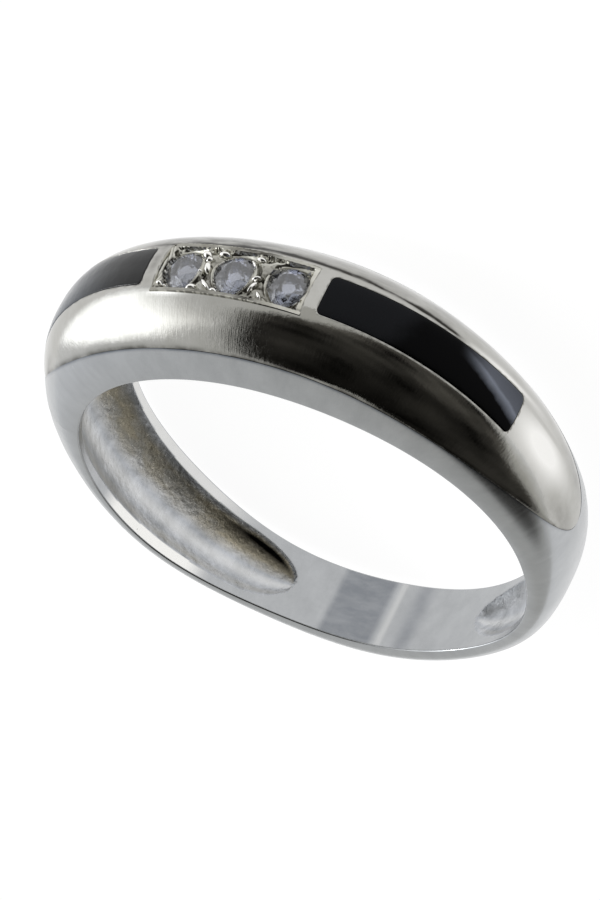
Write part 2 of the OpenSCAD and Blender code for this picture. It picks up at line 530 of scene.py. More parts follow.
@dataclass(frozen=True)
class SilverFinish:
    """Sterling silver, 92.5 parts silver, cast and then worked over and worn.

    It gives the eye a warm white mirror that is soft with scratches, with painted shade in its
    corners.
    The light and dark tones are dulled metal. The bright colour is a painted highlight, the stain
    is the sulphide that stays in corners together with painted shade, and the soot colour is painted
    black shade and painted dark reflections. Heights, gaps and radii are in mm, scales are how many
    times a pattern repeats in a mm.
    """

    work: SilverWork
    light: str
    dark: str
    stain_and_shade: str
    roughness: float
    spread: float
    scratch_height: float
    grain_height: float
    grain_gap: float
    patchiness: float = 0.75
    scratch_gap: float = 0.07
    scratch_turn: float = 0.35
    scratch_scale: float = 1.2
    # bright is a painted highlight colour, soot a painted black shade
    bright: str = "f3f2ef"
    painted_black: str = "0f0e0d"
    streak: float = 0.35
    cloud_scale: float = 0.9
    blot_scale: float = 2.2
    pit_gap: float = 0.8
    pit_radius: float = 0.04
    pit_depth: float = 0.02

    def build(self) -> bpy.types.Material:
        """Make the material: two tones by a soft noise, the stain colour, tarnish with painted shade,
        where the piece's marks are between 0 and 1 and the noise is high, the soot colour, painted
        black shade, where they pass 1, the bright colour, a painted highlight, where they are below 0,
        roughness from the scratches, and a bump of scratches over grain with a few small pits.

        Returns:
            The material.
        """
        recipe = Recipe(f"sterling_silver_{self.work.value}")
        add = recipe.add
        place = add("Attribute", output="Vector", attribute_name="place")
        wear_and_painted_light = add("Attribute", output="Fac", attribute_name="wear_and_painted_light")
        cloud = add(
            "TexNoise",
            {"Vector": place, "Scale": self.cloud_scale, "Detail": 5.0, "Roughness": 0.62},
        )
        stops = (0.35, srgb(self.dark)), (0.62, srgb(self.light))
        colour = set_stops(add("ValToRGB", {"Fac": cloud}), stops)
        drawn_out = add("Mapping", {"Vector": place, "Scale": (self.streak, 1.0, 1.0)})
        blots = add(
            "TexNoise",
            {"Vector": drawn_out, "Scale": self.blot_scale, "Detail": 5.0, "Roughness": 0.6},
        )
        patchy = add(
            "MapRange",
            {"Value": blots, "From Min": 0.36, "From Max": 0.6, "To Min": 1.0 - self.patchiness},
        )
        # Marks from 0 to 1 give tarnish and painted shade, past 1 painted black shade, below 0 a
        # painted highlight
        stained_and_shaded = add("Math", {0: wear_and_painted_light, 1: patchy}, operation="MULTIPLY")
        painted_black_share = add("Math", {0: wear_and_painted_light, 1: 1.0}, operation="SUBTRACT", use_clamp=True)
        painted_highlight_share = add("Math", {0: wear_and_painted_light, 1: -1.0}, operation="MULTIPLY", use_clamp=True)
        for share, tint in ((stained_and_shaded, self.stain_and_shade), (painted_black_share, self.painted_black), (painted_highlight_share, self.bright)):
            colour = add("Mix", {0: share, 6: colour, 7: srgb(tint)}, 2, data_type="RGBA")
        scale = (1.0 / self.scratch_gap, self.scratch_scale, self.scratch_scale)
        turn = (0.0, 0.0, self.scratch_turn)
        lines = add("Mapping", {"Vector": place, "Scale": scale, "Rotation": turn})
        scratches = add(
            "TexNoise", {"Vector": lines, "Scale": 1.0, "Detail": 4.0, "Roughness": 0.75}
        )
        grain = add(
            "TexNoise",
            {"Vector": place, "Scale": 1.0 / self.grain_gap, "Detail": 4.0, "Roughness": 0.6},
        )
        to_pit = add("TexVoronoi", {"Vector": place, "Scale": 1.0 / self.pit_gap})
        pits = add(
            "MapRange", {"Value": to_pit, "From Max": self.pit_radius / self.pit_gap},
            interpolation_type="SMOOTHSTEP",
        )
        soft = add(
            "Bump", {"Height": grain, "Strength": 1.0, "Distance": self.grain_height * MM}
        )
        lined = add(
            "Bump",
            {"Height": scratches, "Normal": soft, "Strength": 1.0,
             "Distance": self.scratch_height * MM},
        )
        pitted = add(
            "Bump",
            {"Height": pits, "Normal": lined, "Strength": 0.6, "Distance": self.pit_depth * MM},
        )
        rough = add(
            "MapRange",
            {"Value": scratches, "From Min": 0.3, "From Max": 0.7,
             "To Min": self.roughness - self.spread, "To Max": self.roughness + self.spread},
        )
        return recipe.finish(add(
            "BsdfPrincipled",
            {"Metallic": 1.0, "Base Color": colour, "Roughness": rough, "Normal": pitted},
        ))


@dataclass(frozen=True)
class OnyxFinish:
    """Black onyx, a dyed chalcedony ground flush with the metal and polished to a wet gloss.

    It gives the eye a deep black with a hard edge. A painted grey reflection covers its inner
    half, up to a slanting edge, and a painted pale highlight streak lies near its outer end.
    Places are in mm along the ring and across it, slants in mm along for each mm across.
    """

    name: str = "polished"
    body: str = "040405"
    # film is a painted grey reflection on the inner half
    film: str = "1c1d20"
    # a painted pale highlight streak near the outer end
    streak_highlight: str = "9aa0ae"
    ior: float = 1.54
    roughness: float = 0.07
    gloss: float = 0.5
    cloud_scale: float = 1.6
    wave_height: float = 0.02
    wobble: float = 0.9
    sheen_edge: float = 6.1
    sheen_slant: float = 0.35
    sheen_softness: float = 0.5
    highlight_share: float = 0.8
    highlight_middle: float = 10.5
    highlight_slant: float = 3.55
    highlight_width: float = 1.5
    highlight_from: float = 7.9
    highlight_start: float = 1.6
    highlight_profile: Knots = ((0.0, 0.0), (1 / 3, 1.0), (0.42, 0.55), (1.0, 0.3))

    def build(self) -> bpy.types.Material:
        """Make the material. Slanted distance is how far along the ring a place is past a line
        that leans by the slant for each mm across; the painted grey reflection ends at one such line
        and the painted highlight is a ridge about another, which falls slowly on its outer side.

        Returns:
            The material.
        """
        recipe = Recipe(f"black_onyx_{self.name}")
        add = recipe.add
        place = add("Attribute", output="Vector", attribute_name="place")
        split = add("SeparateXYZ", {"Vector": place}).node.outputs
        along = add("Math", {0: split["X"]}, operation="ABSOLUTE")
        cloud = add(
            "TexNoise",
            {"Vector": place, "Scale": self.cloud_scale, "Detail": 6.0, "Roughness": 0.65},
        )
        wavy = add("Math", {0: cloud, 1: self.wobble, 2: along}, operation="MULTIPLY_ADD")

        def past(middle: float, slant: float) -> bpy.types.NodeSocket:
            """Slanted distance past a line through middle, with the noise's wobble."""
            lean = add("Math", {0: split["Y"], 1: slant, 2: wavy}, operation="MULTIPLY_ADD")
            return add("Math", {0: lean, 1: middle + self.wobble / 2}, operation="SUBTRACT")

        # painted grey reflection, up to the slanting edge
        film = add(
            "MapRange",
            {"Value": past(self.sheen_edge, self.sheen_slant), "From Min": -self.sheen_softness,
             "From Max": self.sheen_softness, "To Min": 1.0, "To Max": 0.0},
            interpolation_type="SMOOTHSTEP",
        )
        # painted highlight, a ridge about a slanting line
        by_highlight = add(
            "MapRange",
            {"Value": past(self.highlight_middle, -self.highlight_slant), "From Min": -self.highlight_width,
             "From Max": 2.0 * self.highlight_width},
        )
        stops = [(at, (self.highlight_share * v,) * 3 + (1.0,)) for at, v in self.highlight_profile]
        ridge = set_stops(add("ValToRGB", {"Fac": by_highlight}), stops)
        reached = add(
            "MapRange",
            {"Value": along, "From Min": self.highlight_from,
             "From Max": self.highlight_from + self.highlight_start},
            interpolation_type="SMOOTHSTEP",
        )
        highlighted = add("Math", {0: ridge, 1: reached}, operation="MULTIPLY")
        colour = srgb(self.body)
        for share, tint in ((film, self.film), (highlighted, self.streak_highlight)):
            colour = add("Mix", {0: share, 6: colour, 7: srgb(tint)}, 2, data_type="RGBA")
        bump = add("Bump", {"Height": cloud, "Strength": 1.0, "Distance": self.wave_height * MM})
        rough = add(
            "MapRange",
            {"Value": cloud, "From Min": 0.3, "From Max": 0.7, "To Min": self.roughness * 0.6,
             "To Max": self.roughness * 1.8},
        )
        return recipe.finish(add(
            "BsdfPrincipled",
            {"IOR": self.ior, "Specular IOR Level": self.gloss, "Base Color": colour,
             "Roughness": rough, "Normal": bump},
        ))


@dataclass(frozen=True)
class ZirconiaFinish:
    """Cubic zirconia, a clear hard crystal, cut and polished. It bends light more than glass
    does, and gives the eye grey glints under a milky film of wear and dirt."""

    tint: str = "b6bcd2"
    ior: float = 2.15
    film_scale: float = 2.5
    film_roughness: float = 0.02
    least_clear: float = 0.96
    wear_scale: float = 6.0
    wear_height: float = 0.012

    def build(self) -> bpy.types.Material:
        """Make the material: clear where the noise is low, duller and milkier where high.

        Returns:
            The material.
        """
        recipe = Recipe("cubic_zirconia_cut")
        add = recipe.add
        place = add("Attribute", output="Vector", attribute_name="place")
        film = add(
            "TexNoise",
            {"Vector": place, "Scale": self.film_scale, "Detail": 3.0, "Roughness": 0.6},
        )
        rough = add(
            "MapRange",
            {"Value": film, "From Min": 0.35, "From Max": 0.7, "To Max": self.film_roughness},
        )
        clear = add(
            "MapRange",
            {"Value": film, "From Min": 0.35, "From Max": 0.65, "To Min": 1.0,
             "To Max": self.least_clear},
        )
        fine = add("TexNoise", {"Vector": place, "Scale": self.wear_scale, "Detail": 3.0})
        worn = add("Bump", {"Height": fine, "Strength": 1.0, "Distance": self.wear_height * MM})
        return recipe.finish(add(
            "BsdfPrincipled",
            {"Base Color": srgb(self.tint), "IOR": self.ior, "Roughness": rough,
             "Transmission Weight": clear, "Normal": worn},
        ))


# Pieces


@dataclass(frozen=True)
class Pocket:
    """A pocket with round corners in the dome: the angles of its middle and half length, its
    half width and corner radius in mm, and the steps round it."""

    form: RingForm
    mid: float
    half_a: float
    half_z: float
    corner: float
    steps: int
    across: int

    def outline(self, inset: float) -> Array:
        """The pocket's edge drawn in by inset.

        Args:
            inset: how far in mm.

        Returns:
            Points as (a, z).
        """
        reach = self.form.reach(self.mid)
        size = np.radians(self.half_a) * reach, self.half_z, self.corner
        loop = rounded_loop(*size, inset, self.steps, self.across)
        return np.stack([self.mid + np.degrees(loop[:, 0] / reach), loop[:, 1]], 1)

    def middle_line(self, loop: Array, share: float) -> Array:
        """Carry a loop straight across to the middle line.

        Args:
            loop: points as (a, z).
            share: how much of the half length the line reaches.

        Returns:
            Points as (a, 0).
        """
        line = np.clip(loop[:, 0] - self.mid, -self.half_a * share, self.half_a * share)
        return np.stack([self.mid + line, 0 * line], 1)


@dataclass
class Band:
    """The cast silver body in one piece. A Soft of the hollow's tarnish and painted light is (start
    or middle, width, amount), over angles or over the share of the hollow's half width."""

    form: RingForm
    rest: RestPose
    edge_radius: float = 0.06
    crease_dark_width: float = 0.07
    edge_steps: int = 5
    side_steps: int = 16
    slope_steps: int = 28
    top_steps: int = 24
    top_half: float = 1.15
    top_share: float = 0.82
    inlay_steps: int = 60
    channel_steps: int = 44
    tip_steps: tuple[int, int] = (22, 48)
    back_steps: tuple[int, int] = (160, 130)
    channel_reach: float = 16.45
    inlay_reach: float = 61.5
    channel_half_angle: float = 15.04
    channel_half_width: float = 1.015
    channel_corner: float = 0.1
    channel_depth: float = 0.36
    channel_well: float = 0.85
    inlay_start: float = 17.87
    inlay_end: float = 59.6
    inlay_half_width: float = 0.815
    inlay_corner: float = 0.2
    inlay_depth: float = 0.55
    rim_round: float = 0.035
    rim_rows: int = 6
    floor_share: float = 0.9
    wall_step: float = 0.022
    wall_lines: float = 0.1
    wall_wear: float = 0.3
    wall_line_wear: float = 0.35
    pattern_r: float = 10.5
    hollow_depth: float = 1.4
    hollow_depth_back: float = 0.3
    hollow_half_front: float = 2.45
    hollow_half_back: float = 1.12
    hollow_round: float = 138.0
    hollow_end: float = 154.0
    hollow_lip: float = 0.3
    end_power: float = 2.2
    end_soft: float = 0.25
    fall_power: float = 1.3
    deep_end_power: int = 3
    lip_power: float = 1.15
    cast_from: float = 0.02
    inner_steps: int = 72
    # brown far half of the hollow: tarnish with painted shade
    brown_from: Soft = (-0.05, 0.7)
    brown_rim: Soft = (0.76, 0.2, 0.8)
    brown_right: Soft = (95.0, 30.0, 0.9)
    # painted shade towards the near rim, with a painted highlight streak along the near half
    near_shade: Soft = (0.5, 0.4, 0.4)
    painted_highlight_streak: Soft = (0.25, 0.22, 0.4)
    # painted shade at the left end, and a painted shadow along the far wall there
    end_shade_left: Soft = (122.0, 15.0, 0.4)
    end_shade_far: Soft = (-0.2, 0.6)
    wall_shadow_left: Soft = (126.0, 22.0, 1.3)
    wall_shadow_line: Soft = (-0.86, 0.2)
    marks: tuple[tuple[float, float, float, float, float], ...] = (
        # painted highlights where the amount is below 0, painted shade and painted reflections where
        # above: angle, side in mm, half length in degrees, half width in mm, amount
        (69.5, 0.05, 9.5, 0.66, -1.3),
        (85.0, 0.75, 9.0, 0.6, 0.3),
        (54.0, -0.95, 9.0, 0.13, -0.9),
        (42.0, -2.05, 34.0, 0.5, 0.55),
        (-8.0, -1.7, 16.0, 0.8, 0.65),
        (68.0, -0.62, 6.0, 0.06, 0.5),
        (-57.0, 1.6, 5.0, 0.14, 0.7),
        (84.0, -0.9, 9.0, 0.5, 0.4),
        (25.0, -2.45, 70.0, 0.25, 0.5),
        (-16.5, -0.2, 0.9, 0.8, 0.35),
        (-11.5, 1.1, 3.5, 0.05, -1.2),
    )
    bore_light_marks: tuple[tuple[float, float, float, float, int], ...] = (
        # painted highlights on the rims and painted reflection bands at the back: first angle, last
        # angle, softness, amount, which: 1 near rim, -1 far rim, 0 both
        (-131.0, -99.0, 8.0, -1.0, 1),
        (-134.0, -75.0, 16.0, -0.6, -1),
        (-177.5, -164.0, 2.0, 0.7, 0),
        (172.0, 176.0, 4.0, 0.5, 0),
        (-182.0, -178.8, 1.0, -0.25, 0),
        (179.6, 182.0, 1.0, -0.25, 0),
    )
    painted_reflection_line: Knots = (
        # painted dark reflection: angle, side in mm
        (-25.0, -0.9), (-5.0, -1.1), (5.0, -1.3), (15.0, -1.22), (25.0, -1.15), (35.0, -1.04),
        (43.0, -0.93),
    )
    # Width and darkness of the painted dark reflection line, and of the painted shade that fades from
    # it outwards
    line_width: float = 0.06
    line_darkness: float = 1.4
    line_spread: float = 1.8
    fade_width: float = 0.4
    fade_darkness: float = 0.35
    line_start: float = 15.0
    line_end: float = 6.0

    def columns(self) -> Array:
        """Angles of the mesh's columns, closer together towards the dome's tips, where the
        steps shrink as the square.

        Returns:
            The angles from just past -180 to 180.
        """
        left, right = -self.form.tip_left, self.form.tip_right
        near, far = self.channel_reach, self.inlay_reach

        def to_tip(start: float, tip: float, steps: int) -> Array:
            """Angles from past start to tip."""
            return tip - (tip - start) * (1 - np.arange(1, steps + 1) / steps) ** 2

        runs = (
            np.linspace(-180.0, left, self.back_steps[0] + 1)[1:-1],
            to_tip(-far, left, self.tip_steps[0])[::-1],
            np.linspace(-far, -near, self.inlay_steps + 1)[:-1],
            np.linspace(-near, near, self.channel_steps + 1)[:-1],
            np.linspace(near, far, self.inlay_steps + 1),
            to_tip(far, right, self.tip_steps[1]),
            np.linspace(right, 180.0, self.back_steps[1] + 1)[1:],
        )
        return np.concatenate(runs)

    def side_rows(self, a: Array) -> tuple[Array, Array, Array]:
        """Heights and sides of the rounded inner edge and the side up to the crease.

        The edge is a quarter circle. The side lies between a superellipse in its own
        parameter, z as half the width times cos(t) to the power 2/n and height as the tallness
        times sin(t) to the power 2/n, and the straight line across it, which the flat sides
        of the head are nearer to.

        Args:
            a: angles of the columns.

        Returns:
            Height over the bore, z, and wear, rows by columns, for the near side.
        """
        form, r = self.form, self.edge_radius
        n, hw, tall = form.spline(2, a), form.half_width(a), form.side_height(a)
        t0 = np.arcsin((r / tall) ** (n / 2))
        t1 = np.arccos((form.dome_edge(a) / hw) ** (n / 2))
        t = t0 + (t1 - t0) * np.sin(QUARTER * np.linspace(0, 1, self.side_steps + 1)[:, None])
        side_h, side_z = tall * np.sin(t) ** (2 / n), hw * np.cos(t) ** (2 / n)
        side_z[-1] = form.dome_edge(a)
        flat = form.side_flatness * form.dome_share(a) ** 3
        share = (side_h - side_h[0]) / np.maximum(side_h[-1] - side_h[0], TINY)
        side_z += flat * (side_z[0] + (side_z[-1] - side_z[0]) * share - side_z)
        turn = QUARTER * np.arange(self.edge_steps)[:, None] / self.edge_steps
        h = np.vstack([r - r * np.cos(turn) + 0 * a, side_h])
        z = np.vstack([side_z[0] - r + r * np.sin(turn), side_z])
        return h, z, self.crease_darkening(np.hypot(h - h[-1], z - z[-1]), a)

    def crease_darkening(self, distance: Array, a: Array) -> Array:
        """Darkening along the crease: a bell of the distance, which fades at the dome's tips."""
        return bell(distance, 0.0, self.crease_dark_width) * self.form.dome_share(a)

    def dome_painted_light(self, a: Array, z: Array) -> Array:
        """Painted light of the dome: a bell for each of its marks, painted highlights and painted
        shade, and a thin painted dark reflection beyond the inlay and the channel, which follows a
        run of points and fades outwards.

        Args:
            a: angles.
            z: sides.

        Returns:
            Painted light at each place.
        """
        total = 0.0
        for angle, side, long, wide, amount in self.marks:
            total = total + bell(a, angle, long) * bell(z, side, wide, amount)
        # A thin painted dark reflection along the run of points, fading outwards
        off = z - follow(self.painted_reflection_line, a)
        drawn = np.where(off > 0, off, off / self.line_spread)
        line = bell(drawn, 0.0, self.line_width, self.line_darkness)
        fade = bell(off, 0.0, self.fade_width, self.fade_darkness) * (off < 0)
        first, last = self.painted_reflection_line[0][0], self.painted_reflection_line[-1][0]
        ends = ease(a, first, self.line_start) * smooth_step((last - a) / self.line_end + 0.5)
        return total + ends * (line + fade)

    def bore_painted_light(self, a: Array, z: Array, half: Array) -> Array:
        """Painted light of the plain bore, a sum of its marks: painted highlights on the rims beside
        the left of the hollow, and painted reflection bands at the back, dark with a bright edge.

        Args:
            a: angles.
            z: sides.
            half: half width of the hollow at each angle.

        Returns:
            Painted light at each place.
        """
        total = 0.0
        for first, last, soft, amount, rim in self.bore_light_marks:
            on = (rim == 0) | (rim * z > half)
            total = total + amount * within(a, first, last, soft) * on
        return total

    def top_edge(self, a: Array) -> Array:
        """Half width of the dome's middle strip, which shrinks with the dome."""
        return np.minimum(self.top_half, self.top_share * self.form.dome_edge(a))

    def slope_rows(self, a: Array) -> Array:
        """Sides z of the rows from the crease to the middle strip, closer at the crease.

        Args:
            a: angles of the columns.

        Returns:
            Half the dome's width times cos(t), for even steps of t.
        """
        edge = self.form.dome_edge(a)
        last = np.arccos(np.clip(self.top_edge(a) / np.maximum(edge, TINY), 0, 1))
        return edge * np.cos(last * np.linspace(0, 1, self.slope_steps + 1)[:, None])

    def inner_rows(self, a: Array) -> tuple[Array, Array, Array, Array]:
        """The bore wall from the far edge to the near edge, with the scooped hollow.

        Seen from the bore, the hollow narrows evenly from the head to the back and has round
        ends, as half a superellipse. Its depth falls evenly along the ring, and across it as 1
        less the square of the share of its half width, to lip_power, so its lip is soft.

        Args:
            a: angles of the columns.

        Returns:
            Depth outwards from the bore, z, hollow share, and tarnish with painted light, rows by
            columns.
        """
        edge = self.form.half_width(a) - self.edge_radius
        z = edge * np.sin(QUARTER * np.linspace(-1, 1, self.inner_steps + 1)[:, None])
        along = (np.cos(np.radians(a)) + 1.0) / 2.0
        half = self.hollow_half_back + (self.hollow_half_front - self.hollow_half_back) * along
        over = (np.abs(a) - self.hollow_round) / (self.hollow_end - self.hollow_round)
        over = np.clip(over, 0, 1)
        half = half * np.sqrt(1.0 - over**self.end_power)
        more = self.hollow_depth - self.hollow_depth_back
        deep = self.hollow_depth_back + more * along**self.fall_power
        end, side = np.sqrt(1.0 - over**self.deep_end_power), z / np.maximum(half, 1e-6)
        depth = deep * end * (1.0 - np.minimum(np.abs(side), 1.0) ** 2) ** self.lip_power
        share = smooth_step((half - np.abs(z)) / self.hollow_lip) * smooth_step(end / self.end_soft)
        wear_and_painted_light = share * self.hollow_tarnish_and_painted_light(a, side) + self.bore_painted_light(a, z, half) * (1.0 - share)
        return depth, z, share, wear_and_painted_light

    def hollow_tarnish_and_painted_light(self, a: Array, side: Array) -> Array:
        """Tarnish and painted light of the hollow: a brown far half, tarnish with painted shade, that
        fades at the far rim and to the right, painted shade towards the near rim with a painted
        highlight streak along the near half, painted shade at the left end, and a painted shadow
        along the far wall at the left end.

        Args:
            a: angles.
            side: share of the hollow's half width, -1 at the far rim and 1 at the near rim.

        Returns:
            Tarnish and painted light at each point.
        """
        brown = ease(-side, *self.brown_from) * (1.0 - ease(-side, *self.brown_rim))
        brown = brown * (1.0 - ease(a, *self.brown_right))
        shade = ease(side, *self.near_shade) - bell(side, *self.painted_highlight_streak)
        deep = ease(-a, *self.end_shade_left) * ease(-side, *self.end_shade_far)
        return brown + shade + deep + ease(-a, *self.wall_shadow_left) * bell(side, *self.wall_shadow_line)

    def spots(self, a: Array, z: Array, depth: Array | float) -> Array:
        """Pattern coordinates in mm: along the ring near the crown, across it, and depth."""
        return np.stack(np.broadcast_arrays(np.radians(a) * self.pattern_r, z, depth), axis=-1)

    def inlay_pocket(self, side: int) -> Pocket:
        """The pocket of one inlay, right for side 1 and left for side -1."""
        mid, half = (self.inlay_end + self.inlay_start) / 2, (self.inlay_end - self.inlay_start) / 2
        size = side * mid, half, self.inlay_half_width, self.inlay_corner
        return Pocket(self.form, *size, self.inlay_steps, self.top_steps)

    def framed(
        self, shell: Shell, pocket: Pocket, box: Sequence[float], depth: float, mark: int,
        wall_mark: int,
    ) -> None:
        """A pocket with a rounded lip in a rectangle of the dome's middle strip.

        Rows of points go from the rectangle to the pocket's lip on the skin, over the lip as
        a quarter circle, down the wall and in to the middle line of the pocket's floor. The
        wall has faint lines round it, as a cosine of the depth.

        Args:
            shell: mesh to add to.
            pocket: the pocket.
            box: first and last angle of the rectangle.
            depth: the pocket's depth below the skin.
            mark: material of the top.
            wall_mark: material of the walls and floor.
        """
        form, r = self.form, self.rim_round
        outer = rectangle_loop(*box, self.top_half, pocket.steps, self.top_steps)
        top = between(outer, pocket.outline(-r), self.rim_rows)
        a, z = top[..., 0], top[..., 1]
        points = form.place(form.bore_r + form.skin(a, z), a, z)
        shell.add_grid(points, self.spots(a, z, 0.0), self.dome_painted_light(a, z), mark)
        turns = QUARTER * np.linspace(0, 1, 5)
        rows = [pocket.outline(-r * (1 - np.sin(t))) for t in turns]
        lines = int(np.ceil((depth - r) / self.wall_step))
        rows += [rows[-1]] * lines
        rows.append(pocket.middle_line(pocket.outline(0.0), self.floor_share))
        wall_sinks = np.linspace(r, depth, lines + 1)[1:]
        sink = np.concatenate([r * (1 - np.cos(turns)), wall_sinks, [depth]])[:, None]
        wall = np.stack(rows)
        a, z = wall[..., 0], wall[..., 1]
        points = form.place(form.bore_r + form.skin(a, z) - sink, a, z)
        wear_and_painted_light = self.wall_wear + self.wall_line_wear * np.cos(2 * np.pi * sink / self.wall_lines)
        shell.add_grid(points, self.spots(a, z, -sink), wear_and_painted_light, wall_mark)

    def build(self, silver: dict[SilverWork, bpy.types.Material]) -> bpy.types.Object:
        """Gather all surfaces of the band.

        Args:
            silver: material for each finish.

        Returns:
            The band's object.
        """
        form, shell, angles = self.form, Shell(), self.columns()
        order = list(SilverWork)
        polished, satin, cast, bright = range(len(order))
        ends = [-form.tip_left, -self.inlay_reach, self.inlay_reach, form.tip_right]
        tip_left, inlay_left, inlay_right, tip_right = np.searchsorted(angles, ends)
        side_h, side_z, darkening_and_painted_light = self.side_rows(angles)
        for sign in (1.0, -1.0):
            points = form.place(form.bore_r + side_h, angles, sign * side_z)
            shell.add_grid(points, self.spots(angles, sign * (side_z + side_h), 0.0), darkening_and_painted_light, satin)

        def add_dome(a: Array, z: Array, wear_and_painted_light: Array | float) -> None:
            """Add a part of the dome's skin, with its darkening over the painted light of its marks.
            """
            points = form.place(form.bore_r + form.skin(a, z), a, z)
            wear_and_painted_light = wear_and_painted_light + self.dome_painted_light(a, z)
            shell.add_grid(points, self.spots(a, z, 0.0), wear_and_painted_light, polished, wrap=False)

        a = angles[tip_left : tip_right + 1]
        z = self.slope_rows(a)
        for sign in (1.0, -1.0):
            add_dome(a, sign * z, self.crease_darkening(z[0] - z, a))
        flat = np.linspace(1, -1, self.top_steps + 1)[:, None]
        for first, last in ((tip_left, inlay_left), (inlay_right, tip_right)):
            a = angles[first : last + 1]
            add_dome(a, self.top_edge(a) * flat, 0.0)
        # the bore's tarnish with painted light
        deep, z, share, darkening_and_painted_light = self.inner_rows(angles)
        points = form.place(form.bore_r + deep, angles, z)
        kinds = np.where(share > self.cast_from, cast, satin)
        shell.add_grid(points, self.spots(angles, z, deep), darkening_and_painted_light, kinds)
        near, far = self.channel_reach, self.inlay_reach
        for side, box in ((-1, (-far, -near)), (1, (near, far))):
            self.framed(shell, self.inlay_pocket(side), box, self.inlay_depth, polished, polished)
        size = self.channel_half_angle, self.channel_half_width, self.channel_corner
        channel = Pocket(form, 0.0, *size, self.channel_steps, self.top_steps)
        self.framed(shell, channel, (-near, near), self.channel_well, polished, bright)
        return shell.build("silver_band", self.rest, [silver[w] for w in order])


@dataclass
class Inlay:
    """One black inlay, flush with the dome and following it."""

    band: Band
    gap: float = 0.008
    lip: float = 0.03
    depth: float = 0.5
    rows: int = 10
    line_share: float = 0.92

    def build(self, name: str, side: int, onyx: bpy.types.Material) -> bpy.types.Object:
        """Make the inlay as one closed form. Rings of points go from the top's middle line
        out to its edge, over a small rounded lip, down the wall and in to the middle line
        below.

        Args:
            name: object name.
            side: 1 on the right, -1 on the left.
            onyx: material.

        Returns:
            The inlay's object.
        """
        band, form, shell = self.band, self.band.form, Shell()
        pocket = band.inlay_pocket(side)
        edge = pocket.outline(self.gap + self.lip)
        core = pocket.middle_line(edge, self.line_share)
        turns = QUARTER * np.linspace(0, 1, 5)[1:]
        lip = [pocket.outline(self.gap + self.lip * (1 - np.sin(t))) for t in turns]
        loop = np.stack([*between(core, edge, self.rows), *lip, lip[-1], core])
        flat, below = np.zeros(self.rows + 1), [self.depth, self.depth]
        sink = np.concatenate([flat, self.lip * (1 - np.cos(turns)), below])[:, None]
        a, z = loop[..., 0], loop[..., 1]
        points = form.place(form.bore_r + form.skin(a, z) - sink, a, z)
        shell.add_grid(points, band.spots(a, z, -sink))
        return shell.build(name, band.rest, [onyx])


